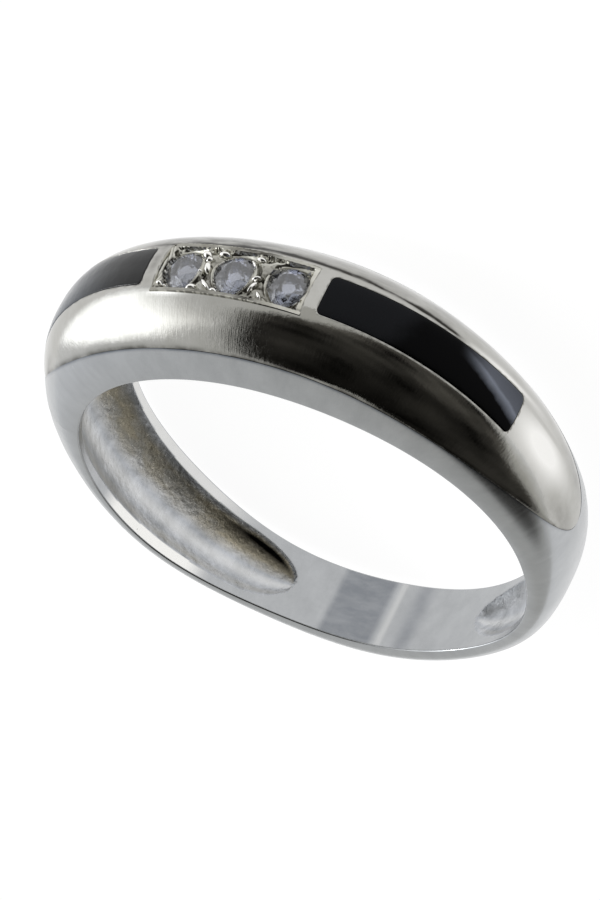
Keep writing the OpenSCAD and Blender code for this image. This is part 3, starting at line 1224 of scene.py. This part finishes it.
@dataclass
class Setting:
    """The channel's floor with its cone seats, and the beads that hold the stones."""

    band: Band
    stone_d: float = 1.6
    pitch: float = 10.75
    seat_play: float = 0.008
    pavilion: float = 0.43
    plate_depth: float = 0.78
    under_wall: float = 0.06
    cell_steps: int = 32
    cell_rows: int = 16
    cone_shares: tuple[float, ...] = (1.0, 0.97, 0.5, 0.0)
    cone_wear: float = -0.5
    lip_share: float = 0.88
    lip_height: float = 0.24
    lip_reach: float = 0.16
    low_from: Soft = (0.02, 0.2)
    low_height: float = 0.05
    wave_height: float = 0.10
    # Radians for each mm along and across, of the first wave and the second
    waves: tuple[tuple[float, float], tuple[float, float]] = ((9.0, 5.0), (-3.0, 11.0))
    ledge: float = 0.11
    ledge_near: float = 0.30
    ledge_far: float = 0.24
    ledge_soft: float = 0.03
    ledge_from: Soft = (0.01, 0.02)
    lines_from: float = 2.6
    lines_soft: float = 0.1
    line_gap: float = 0.13
    line_curve: float = 0.22
    line_height: float = 0.06
    line_dirt: float = 0.6
    end_height: float = 0.26
    end_soft: float = 0.03
    # painted light on the floor: lighter with height and towards the far wall, darker in the groove
    # and about each stone
    height_lightening: float = 3.2
    groove: Soft = (0.03, 0.035, 0.7)
    dark_ring: Soft = (0.0, 0.05, 0.8)
    clean: Knots = ((-0.85, 0.3), (-0.4, 1.0))
    ledge_grey: Knots = ((-2.8, 0.6), (-0.5, 0.75), (0.8, 1.0), (1.6, 0.45), (3.0, 0.15))
    # Painted shade at a bead's foot, its fall towards a painted highlight for a whole height, and the
    # share of the height it falls over
    bead_light: tuple[float, float, float] = (0.9, 2.8, 0.7)
    # Rows down a cut point and down an egg, and the sides from which a bead is an egg
    bead_rows: tuple[int, int] = (3, 11)
    egg_sides: int = 8
    beads: tuple[tuple[float, float, float, float, float, float, int], ...] = (
        # along mm, across mm, half length, half width, height, turn from along, sides
        (-2.71, 0.70, 0.15, 0.13, 0.36, 0.0, 14),
        (-2.45, 0.79, 0.09, 0.08, 0.28, 0.0, 14),
        (-1.38, 0.80, 0.24, 0.15, 0.31, -38.0, 14),
        (-1.33, -0.64, 0.21, 0.19, 0.33, 0.0, 14),
        (-1.22, 0.15, 0.10, 0.09, 0.38, 0.0, 14),
        (-0.87, 0.61, 0.36, 0.11, 0.33, 39.0, 14),
        (-0.49, 0.80, 0.17, 0.12, 0.24, 0.0, 14),
        (-1.07, -0.10, 0.28, 0.16, 0.33, 75.0, 14),
        (-1.14, -0.42, 0.18, 0.11, 0.31, -50.0, 14),
        (-0.72, -0.76, 0.26, 0.13, 0.27, -10.0, 14),
        (0.58, -0.50, 0.26, 0.08, 0.30, 48.0, 14),
        (0.72, -0.78, 0.22, 0.12, 0.26, 0.0, 14),
        (1.10, -0.02, 0.20, 0.17, 0.38, 20.0, 6),
        (1.40, -0.34, 0.48, 0.09, 0.38, -45.0, 6),
        (1.46, 0.42, 0.44, 0.13, 0.37, 54.0, 6),
        (0.90, 0.42, 0.34, 0.10, 0.32, -72.0, 14),
        (0.93, 0.08, 0.24, 0.10, 0.36, -31.0, 14),
        (1.24, 0.72, 0.26, 0.10, 0.33, 49.0, 14),
        (2.72, 0.52, 0.36, 0.20, 0.37, 75.0, 3),
        (2.62, -0.67, 0.26, 0.18, 0.37, 185.0, 3),
    )

    def floor_r(self) -> float:
        """Radius of the channel's floor."""
        return self.band.form.reach(0.0) - self.band.channel_depth

    def step(self) -> float:
        """Distance between neighbouring stones along the floor."""
        return np.radians(self.pitch) * self.floor_r()

    def over_floor(self, points: Array, index: int) -> Array:
        """Turn points about a stone's middle through its angle along the ring.

        Args:
            points: (along, across, height over the floor) in the stone's own flat axes.
            index: -1 left, 0 middle, 1 right.

        Returns:
            The points in the ring's axes.
        """
        t, out = np.radians(index * self.pitch), self.floor_r() + points[..., 2]
        x = out * np.sin(t) + points[..., 0] * np.cos(t)
        y = out * np.cos(t) - points[..., 0] * np.sin(t)
        return np.stack([x, y, points[..., 1]], -1)

    def bent(self, rows: Array, height: Array) -> Array:
        """Points in the ring's axes, from (along, across) bent round the floor at a height."""
        floor = self.floor_r()
        return self.band.form.place(floor + height, np.degrees(rows[..., 0] / floor), rows[..., 1])

    def build(self, bright: bpy.types.Material) -> bpy.types.Object:
        """Make the floor plate with three seats, and the beads on it. Each cell's rows of
        points go from its rectangle in to a circle round the stone, and on down a cone to the
        culet's point.

        Args:
            bright: material of the bright-cut silver.

        Returns:
            The setting's object.
        """
        band, shell, step, n = self.band, Shell(), self.step(), self.cell_steps
        end = np.radians(band.channel_half_angle) * self.floor_r() + self.under_wall
        wide = band.channel_half_width + self.under_wall
        edges = (-end, -step / 2, step / 2, end)
        drop = self.pavilion * self.stone_d
        share = np.array(self.cone_shares)[:, None]
        for index, low, high in zip((-1, 0, 1), edges, edges[1:]):
            outer = rectangle_loop(low, high, wide, n, n)
            centre = np.array([index * step, 0.0])
            seat = (self.stone_d / 2 + self.seat_play) * np.array([self.lip_share, 1.0])
            circle = unit(outer - centre) * seat
            rows = between(outer, circle + centre, self.cell_rows)
            height = self.relief(rows)
            shell.add_grid(self.bent(rows, height), np.dstack([rows, height]), self.grime_and_painted_light(rows))
            local = circle * share[..., None]
            sink = -drop * (1 - share) + 0 * local[..., 0]
            points = self.over_floor(np.dstack([local, sink]), index)
            points[0] = self.bent(rows[-1], height[-1])
            places = np.dstack([local + centre, 0 * sink - drop])
            shell.add_grid(points, places, self.cone_wear)
        along = np.concatenate(
            [np.linspace(low, high, n, endpoint=False) for low, high in zip(edges, edges[1:])]
        )
        top = np.stack([along, wide + 0 * along], 1)
        right = rectangle_loop(-end, end, wide, n, n)[n : 2 * n]
        loop = np.vstack([top, right, -top, -right])
        rows = np.stack([loop, loop, loop * [0.5, 0.0]])
        height = self.relief(loop) * np.array([1, 0, 0])[:, None]
        height = height - np.array([0.0, self.plate_depth, self.plate_depth])[:, None]
        shell.add_grid(self.bent(rows, height), np.dstack([rows, height]))
        self.add_beads(shell)
        return shell.build("bead_setting", band.rest, [bright], sharp_angle=50.0)

    def to_stones(self, rows: Array) -> tuple[Array, Array, Array]:
        """Where each point is by its nearest stone.

        Args:
            rows: points (along, across) in mm.

        Returns:
            How far it is past the stone's edge, how far past the lip of metal pushed over the
            stone, an ellipse shorter along the ring, and the share of its way that is along.
        """
        s, z, step = rows[..., 0], rows[..., 1], self.step()
        along = s - step * np.clip(np.round(s / step), -1, 1)
        away, lip = np.hypot(along, z), np.hypot(along / self.lip_share, z)
        return away - self.stone_d / 2, lip - self.stone_d / 2, np.abs(along) / away

    def engraved(self, s: Array, z: Array) -> Array:
        """Curved lines from 0 to 1, as a cosine of s plus a share of z squared."""
        return 0.5 + 0.5 * np.cos(2 * np.pi * (s + self.line_curve * z**2) / self.line_gap)

    def relief(self, rows: Array) -> Array:
        """Height of the cut metal over the floor.

        It waves between the stones, and rises to the lips over their edges and to the two
        ends, with a ledge along the two walls and engraved lines at the left end.

        Args:
            rows: points (along, across) in mm.

        Returns:
            Height at each point.
        """
        s, z = rows[..., 0], rows[..., 1]
        edge, lip, share = self.to_stones(rows)
        (s1, z1), (s2, z2) = self.waves
        cut = 0.5 + 0.5 * np.sin(s1 * s + z1 * z) * np.cos(s2 * s + z2 * z)
        low = ease(edge, *self.low_from) * (self.low_height + self.wave_height * cut)
        grip = self.lip_height * share**2 * smooth_step(1.0 - edge / self.lip_reach)
        end = ease(np.abs(s), self.lines_from, self.lines_soft) * smooth_step(lip / self.end_soft)
        end = end * (self.end_height + self.line_height * self.engraved(s, z) * (s < 0))
        low = np.maximum(np.maximum(low, grip), end)
        inside = self.band.channel_half_width - np.abs(z)
        ledge = smooth_step((self.ledge - inside) / self.ledge_soft)
        return low + ledge * (np.where(z > 0, self.ledge_near, self.ledge_far) - low)

    def grime_and_painted_light(self, rows: Array) -> Array:
        """Tone of the floor, dirt with painted light. Painted shade falls with the height, so that
        high metal is painted lighter, and it falls towards the far wall; painted shade is dark in a
        ring about each stone and in the groove by the near ledge, as bells of the distance. Dirt
        darkens the engraved lines, and the ledges have grey stretches.

        Args:
            rows: points (along, across) in mm.

        Returns:
            Dirt and painted light at each point.
        """
        s, z = rows[..., 0], rows[..., 1]
        inside = self.band.channel_half_width - np.abs(z)
        groove = bell(inside - self.ledge, *self.groove) * (z > 0)
        ledge = ease(self.ledge - inside, *self.ledge_from)
        floor = (1.0 - self.height_lightening * self.relief(rows)) * follow(self.clean, z) + groove
        floor = floor + bell(self.to_stones(rows)[1], *self.dark_ring)
        floor = floor + self.line_dirt * (1.0 - self.engraved(s, z)) * (s < -self.lines_from)
        return floor + ledge * (follow(self.ledge_grey, s) - floor)

    def add_beads(self, shell: Shell) -> None:
        """Add each bead half buried. A round one is an egg, whose height is the root of one
        less the squares of its two half axes; one with few sides is a cut point with flat
        faces. Both go as deep below the floor, and are painted lighter the higher they are, from
        painted shade at the foot to a painted highlight.

        Args:
            shell: mesh to add to.
        """
        foot, loss, up_to = self.bead_light
        cut_rows, egg_rows = self.bead_rows
        for along, across, long_r, wide_r, tall, angle, sides in self.beads:
            turn = np.linspace(0, 2 * np.pi, sides, endpoint=False)
            rows = egg_rows if sides >= self.egg_sides else cut_rows
            fall = np.linspace(0, np.pi, rows)[:, None]
            u, v = np.sin(fall) * np.cos(turn) * long_r, np.sin(fall) * np.sin(turn) * wide_r
            c, s = np.cos(np.radians(angle)), np.sin(np.radians(angle))
            rows = np.stack([along + u * c - v * s, across + u * s + v * c], -1)
            h = np.cos(fall) * tall + 0 * turn
            wear_and_painted_light = foot - loss * np.clip(h / tall, 0.0, up_to)
            shell.add_grid(self.bent(rows, h), np.dstack([rows, h]), wear_and_painted_light)


@dataclass
class Stone:
    """A round stone in the brilliant cut, with a table, star, kite and girdle facets. Sizes
    are shares of its diameter or radius."""

    setting: Setting
    table: float = 0.56
    star: float = 0.79
    star_height: float = 0.6
    crown: float = 0.15
    girdle: float = 0.03
    lower_share: float = 0.24
    lower_depth: float = 0.97

    def rings(self) -> Array:
        """Corners of the stone's facets, ring by ring.

        Returns:
            Points (along, across, height over the floor): table, star, upper and lower
            girdle, main facets, culet and the table's middle.
        """
        d, low = self.setting.stone_d, self.girdle * self.setting.stone_d
        top, culet = low + self.crown * d, -self.setting.pavilion * d
        main = culet * (1 - self.lower_share) * self.lower_depth
        rows = (
            # corners, share of the radius, first angle, height
            (8, self.table, 0.0, top),
            (8, self.star, 22.5, low + self.star_height * self.crown * d),
            (16, 1.0, 0.0, low),
            (16, 1.0, 0.0, 0.0),
            (8, self.lower_share, 22.5, main),
            (1, 0.0, 0.0, culet),
            (1, 0.0, 0.0, top),
        )
        points = []
        for count, share, first, height in rows:
            t = np.radians(first + 360.0 / count * np.arange(count))
            r = share * d / 2
            points.append(np.stack([r * np.cos(t), r * np.sin(t), height + 0 * t], 1))
        return np.vstack(points)

    @staticmethod
    def facets() -> Array:
        """Triangles of the stone, eight or sixteen of each kind round it.

        Returns:
            Three point numbers for each.
        """
        table, star, upper, lower, main, culet, middle = 0, 8, 16, 32, 48, 56, 57
        i, k = np.arange(8), np.arange(16)
        j, k2, g = (i + 1) % 8, (k + 1) % 16, 2 * i
        g1, g2 = g + 1, (g + 2) % 16
        kinds = (
            (middle, table + i, table + j),
            (table + i, star + i, table + j),
            (table + i, upper + g, star + i),
            (table + j, star + i, upper + g2),
            (star + i, upper + g, upper + g1),
            (star + i, upper + g1, upper + g2),
            (lower + g, main + i, lower + g1),
            (lower + g1, main + i, lower + g2),
            (lower + g, culet, main + i),
            (main + i, culet, lower + g2),
            (upper + k, lower + k, upper + k2),
            (upper + k2, lower + k, lower + k2),
        )
        return np.vstack([np.stack(np.broadcast_arrays(*kind), 1) for kind in kinds])

    def build(self, name: str, index: int, crystal: bpy.types.Material) -> bpy.types.Object:
        """Make the stone with its flat girdle on the channel's floor.

        Args:
            name: object name.
            index: -1 left, 0 middle, 1 right.
            crystal: material.

        Returns:
            The stone's object.
        """
        points = self.setting.over_floor(self.rings(), index)
        mesh = bpy.data.meshes.new(name)
        co = self.setting.band.rest.to_frame(points)
        mesh.from_pydata(co.tolist(), [], self.facets().tolist())
        give(mesh, "place", "FLOAT_VECTOR", "vector", points)
        work = bmesh.new()
        work.from_mesh(mesh)
        bmesh.ops.recalc_face_normals(work, faces=work.faces[:])
        work.to_mesh(mesh)
        work.free()
        mesh.materials.append(crystal)
        return link(name, mesh)


# Studio


@dataclass
class Studio:
    """Pale glowing table, a light tent round it, and the camera at the photo's angle.

    The tent is a half ball whose glow follows the direction. A large lamp shows on its left
    wall, and a dark card over and behind the camera, which the dome mirrors. Azimuths are
    angles about the ring from the head, elevations are over the ring's own plane. The glint is
    a small light: azimuth, elevation, metres away, side in metres, radiance.
    """

    rest: RestPose
    azimuth: float = 32.21
    elevation: float = 29.44
    roll: float = -153.0
    distance: float = 301.4
    lens: float = 342.0
    sensor: float = 36.0
    clip: tuple[float, float] = (0.01, 50.0)
    aside: float = -0.90
    above: float = 0.73
    floor_size: float = 6.0
    floor_glow: float = 0.95
    floor_under: float = 0.01
    floor_tone: str = "6e6e6e"
    world_tone: str = "cccccc"
    tent_radius: float = 0.9
    tent_steps: tuple[int, int] = (150, 56)
    tent_foot: float = -6.0
    cool: tuple[float, float, float] = (0.97, 0.985, 1.0)
    warm: tuple[float, float, float] = (1.0, 0.995, 0.955)
    brown: tuple[float, float, float] = (1.0, 0.95, 0.85)
    warm_at: float = 0.62
    cool_after: float = 0.3
    glint: tuple[float, float, float, float, float] = (-78.0, 28.0, 0.6, 0.05, 60.0)
    # How far left a direction points, glow
    cloth_glow: Knots = ((-1.0, 0.72), (0.0, 0.62), (0.6, 0.8), (1.0, 1.0))
    # Elevation, share of the glow
    cloth_rise: Knots = ((0, 1.38), (6, 1.15), (12, 0.97), (20, 0.75), (26, 0.6))
    rise_from: Soft = (88.0, 14.0)
    rise_to: Soft = (-152.0, 12.0)
    lamp_glow: float = 2.6
    lamp_right: Soft = (35.0, 36.0)
    lamp_foot: Soft = (-4.0, 14.0)
    lamp_soft: float = 8.0
    # Azimuth, elevation
    lamp_top: Knots = ((-112, -12), (-107, 12), (-103, 22), (-93, 35), (-85, 40), (-75, 45), (-45, 44))
    # Elevation, azimuth
    card_left: Knots = ((15, -21), (27, -24), (41, -32), (49, -39), (59, -53), (70, -78), (86, -115))
    card_right: Knots = ((10, 137), (17, 138), (24, 146), (45, 158), (86, 172))
    # Azimuth, elevation
    card_foot: Knots = (
        (-22, 25), (-10, 21), (0, 20), (8, 17), (15, 14), (30, 9), (42, 8), (88, 8), (100, 11),
        (107, 19), (114, 27), (124, 24), (131, 17), (140, 10),
    )
    card_soft: tuple[float, float, float] = (9.0, 12.0, 6.0)
    # Elevation, glow
    card_glow: Knots = ((10, 0.10), (24, 0.075), (37, 0.05), (45, 0.028), (60, 0.026), (75, 0.01))
    # Amount, and how fast the two waves turn with azimuth and elevation
    card_folds: tuple[tuple[float, float, float, float, float], ...] = (
        (0.75, 5.0, 3.0, -2.0, 7.0),
        (0.4, 19.0, -7.0, 9.0, 21.0),
    )

    def cloth(self, az: Array, el: Array) -> Array:
        """Glow of the bare cloth. It falls from the lit left wall to the middle, by how far
        left a direction points, and on the far right it falls upwards from the table's glow.

        Args:
            az: azimuths.
            el: elevations.

        Returns:
            Glow in each direction.
        """
        left = -aim(az, el)[..., 0]
        share = ease(az, *self.rise_from) * ease(-az, *self.rise_to)
        return follow(self.cloth_glow, left) * (1.0 + (follow(self.cloth_rise, el) - 1.0) * share)

    def lamp_share(self, az: Array, el: Array) -> Array:
        """Share of the lamp on the left wall: soft on its right, with a rounded top that comes
        down on the left, and soft at the foot.

        Args:
            az: azimuths.
            el: elevations.

        Returns:
            Share in each direction.
        """
        under = smooth_step((follow(self.lamp_top, az) - el) / self.lamp_soft + 0.5)
        return ease(-az, *self.lamp_right) * under * ease(el, *self.lamp_foot) * (az < 0)

    def card_share(self, az: Array, el: Array) -> Array:
        """Share of the dark card: its left edge leans further left with height, its right
        edge further right, and its foot follows a run of points.

        Args:
            az: azimuths.
            el: elevations.

        Returns:
            Share in each direction.
        """
        left, right, foot = self.card_soft
        share = smooth_step((az - follow(self.card_left, el)) / left + 0.5)
        share = share * smooth_step((follow(self.card_right, el) - az) / right + 0.5)
        return share * smooth_step((el - follow(self.card_foot, az)) / foot + 0.5)

    def card_tone(self, az: Array, el: Array) -> Array:
        """Glow of the dark card. It darkens upwards, with broad and fine folds, each a product
        of two waves.

        Args:
            az: azimuths.
            el: elevations.

        Returns:
            Glow in each direction.
        """
        folds = 1.0
        for amount, az1, el1, az2, el2 in self.card_folds:
            first, second = np.radians(az1 * az + el1 * el), np.radians(az2 * az + el2 * el)
            folds = folds + amount * np.sin(first) * np.sin(second)
        return follow(self.card_glow, el) * folds

    def tent_glow(self, az: Array, el: Array) -> Array:
        """Linear colour of the tent in each direction.

        Args:
            az: azimuths from -180 to 180.
            el: elevations.

        Returns:
            Three values for each direction: the cloth, mixed with the lamp and then with the
            card by their shares.
        """
        cloth = self.cloth(az, el)
        card = self.card_share(az, el)[..., None]
        low = np.clip((cloth - self.warm_at) / self.cool_after, 0, 1)[..., None]
        tint = np.array(self.warm) * (1 - low) + np.array(self.cool) * low
        light = (cloth + (self.lamp_glow - cloth) * self.lamp_share(az, el))[..., None] * tint
        return light * (1 - card) + self.card_tone(az, el)[..., None] * np.array(self.brown) * card

    @staticmethod
    def hang(name: str, data: bpy.types.ID, axes: Sequence[Array], at: Array) -> bpy.types.Object:
        """Put a camera or light in the scene.

        Args:
            name: object name.
            data: the camera or light.
            axes: its right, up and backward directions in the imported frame.
            at: its place in metres.

        Returns:
            The object.
        """
        piece = bpy.data.objects.new(name, data)
        whole = np.eye(4)
        whole[:3] = np.column_stack([*axes, at])
        piece.matrix_world = Matrix(whole.tolist())
        bpy.context.scene.collection.objects.link(piece)
        return piece

    def place_camera(self) -> None:
        """Make the camera and set it as the scene's. Backward points at it from the ring, and
        the roll turns right and up about backward."""
        r = np.radians(self.roll)
        back = aim(self.azimuth, self.elevation)
        level_up = unit(np.array([0, 0, 1.0]) - back * back[2])
        level = np.cross(level_up, back)
        right = level * np.cos(r) + level_up * np.sin(r)
        up = level_up * np.cos(r) - level * np.sin(r)
        at = back * self.distance + right * self.aside + up * self.above
        data = bpy.data.cameras.new("camera")
        data.lens, data.sensor_width = self.lens, self.sensor
        data.clip_start, data.clip_end = self.clip
        axes = [self.rest.matrix() @ v for v in (right, up, back)]
        bpy.context.scene.camera = self.hang("camera", data, axes, self.rest.to_frame(at[None])[0])

    def hang_light(self) -> None:
        """Hang a small square light that faces the ring, for the glints in the stones. Its
        power is pi times its area times its radiance."""
        azimuth, elevation, away, size, radiance = self.glint
        data = bpy.data.lights.new("glint", "AREA")
        data.size = size
        data.energy = np.pi * size**2 * radiance
        back = self.rest.matrix() @ aim(azimuth, elevation)
        right = unit(np.cross([0, 0, 1.0], back))
        lamp = self.hang("glint", data, (right, np.cross(back, right), back), back * away)
        lamp.visible_camera = False

    def lay_floor(self) -> None:
        """A pale table just under the ring, which glows so that no shadow shows."""
        line = np.array([-0.5, 0.0, 0.5]) * self.floor_size
        x, y = np.meshgrid(line, line)
        recipe = Recipe("pale_table")
        shader = recipe.add(
            "BsdfPrincipled",
            {"Base Color": srgb(self.floor_tone), "Roughness": 1.0, "Specular IOR Level": 0.0,
             "Emission Color": srgb("ffffff"), "Emission Strength": self.floor_glow},
        )
        points = np.stack([x, y, 0 * x - self.floor_under * MM], -1)
        self.add_sheet("floor", points, recipe.finish(shader))

    def raise_tent(self) -> None:
        """The light tent: a grid on a ball, whose points carry the glow as an attribute."""
        across, up = self.tent_steps
        az, el = np.broadcast_arrays(
            np.linspace(-180.0, 180.0, across + 1),
            np.linspace(self.tent_foot, 90.0, up + 1)[:, None],
        )
        recipe = Recipe("tent_cloth")
        glow = recipe.add("Attribute", output="Color", attribute_name="glow")
        material = recipe.finish(recipe.add("Emission", {"Color": glow}))
        points = (aim(az, el) @ self.rest.matrix().T) * self.tent_radius
        tent = self.add_sheet("light_tent", points, material)
        colour = np.dstack([self.tent_glow(az, el), np.ones(az.shape)])
        give(tent.data, "glow", "FLOAT_COLOR", "color", colour)

    def add_sheet(self, name: str, points: Array, material: bpy.types.Material) -> bpy.types.Object:
        """Make a stage sheet from a grid of points.

        Args:
            name: object name.
            points: rows by columns by 3, in metres.
            material: its material.

        Returns:
            The sheet's object.
        """
        rows, columns = points.shape[:2]
        index = np.arange(rows * columns).reshape(rows, columns)
        quads = np.stack([index[:-1, :-1], index[:-1, 1:], index[1:, 1:], index[1:, :-1]], -1)
        mesh = bpy.data.meshes.new(name)
        mesh.from_pydata(points.reshape(-1, 3).tolist(), [], quads.reshape(-1, 4).tolist())
        mesh.materials.append(material)
        piece = link(name, mesh)
        return piece

    def build(self) -> None:
        """Set up the whole studio."""
        scene = bpy.context.scene
        world = bpy.data.worlds.new("studio")
        world.use_nodes = True
        world.node_tree.nodes["Background"].inputs["Color"].default_value = srgb(self.world_tone)
        scene.world = world
        scene.view_settings.view_transform = "Standard"
        self.lay_floor()
        self.raise_tent()
        self.hang_light()
        self.place_camera()


def silver_finishes() -> tuple[SilverFinish, ...]:
    """The four finishes of the silver.

    Returns:
        The mirror of the dome, the softer sides and bore, the grainy hollow as it was cast,
        and the metal cut with a sharp graver in the channel.
    """
    return (
        SilverFinish(
            SilverWork.POLISHED, light="b7b6b2", dark="aeada8", stain_and_shade="2e2b25", roughness=0.075,
            spread=0.035, scratch_height=0.0028, grain_height=0.006, grain_gap=0.4,
        ),
        SilverFinish(
            SilverWork.SATIN, light="b4b6b8", dark="abadaf", stain_and_shade="6c7179", roughness=0.22,
            spread=0.05, scratch_height=0.0005, grain_height=0.004, grain_gap=0.5,
            patchiness=0.3,
        ),
        SilverFinish(
            SilverWork.CAST, light="c0c3c8", dark="9b9ea2", stain_and_shade="b8b09d", roughness=0.32,
            spread=0.08, scratch_height=0.0006, grain_height=0.035, grain_gap=0.28,
            patchiness=0.5,
        ),
        SilverFinish(
            SilverWork.BRIGHT_CUT, light="d4d3cb", dark="b9b7ad", stain_and_shade="2a2721", roughness=0.10,
            spread=0.04, scratch_height=0.002, grain_height=0.006, grain_gap=0.2,
            patchiness=0.5,
        ),
    )


def main() -> None:
    """Build the ring and its studio."""
    logging.basicConfig(level=logging.INFO, format="%(name)s: %(message)s")
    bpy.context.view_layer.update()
    form = RingForm()
    rest = RestPose(form)
    silver = {finish.work: finish.build() for finish in silver_finishes()}
    # Left inlay: its grey-blue body is a painted reflection, and its film is the black
    painted_grey_sheen = OnyxFinish(
        "painted_grey_sheen", body="434a54", film="08090a", sheen_edge=6.6, sheen_softness=2.6, gloss=0.28,
        highlight_share=0.0,
    ).build()
    # Right inlay: its grey film and pale streak are a painted reflection and a painted highlight
    waxed = OnyxFinish("waxed", gloss=0.03).build()
    crystal = ZirconiaFinish().build()
    band = Band(form, rest)
    setting = Setting(band)
    inlay = Inlay(band)
    stone = Stone(setting)
    made = [
        (band.build(silver), "silver", ("band",)),
        (setting.build(silver[SilverWork.BRIGHT_CUT]), "silver", ()),
        (inlay.build("onyx_inlay_left", -1, painted_grey_sheen), "onyx", ("onyx_left",)),
        (inlay.build("onyx_inlay_right", 1, waxed), "onyx", ("onyx_right",)),
        (stone.build("cut_stone_left", -1, crystal), "clear_stone", ("stone_left",)),
        (stone.build("cut_stone_middle", 0, crystal), "clear_stone", ("stone_middle",)),
        (stone.build("cut_stone_right", 1, crystal), "clear_stone", ("stone_right",)),
    ]
    for piece, slot, nodes in made:
        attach(piece, "root")
        if nodes:
            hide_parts(*nodes)
        LOG.info("%s: %d faces", piece.name, len(piece.data.polygons))
    Studio(rest).build()
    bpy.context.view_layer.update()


if __name__ == "__main__":
    main()
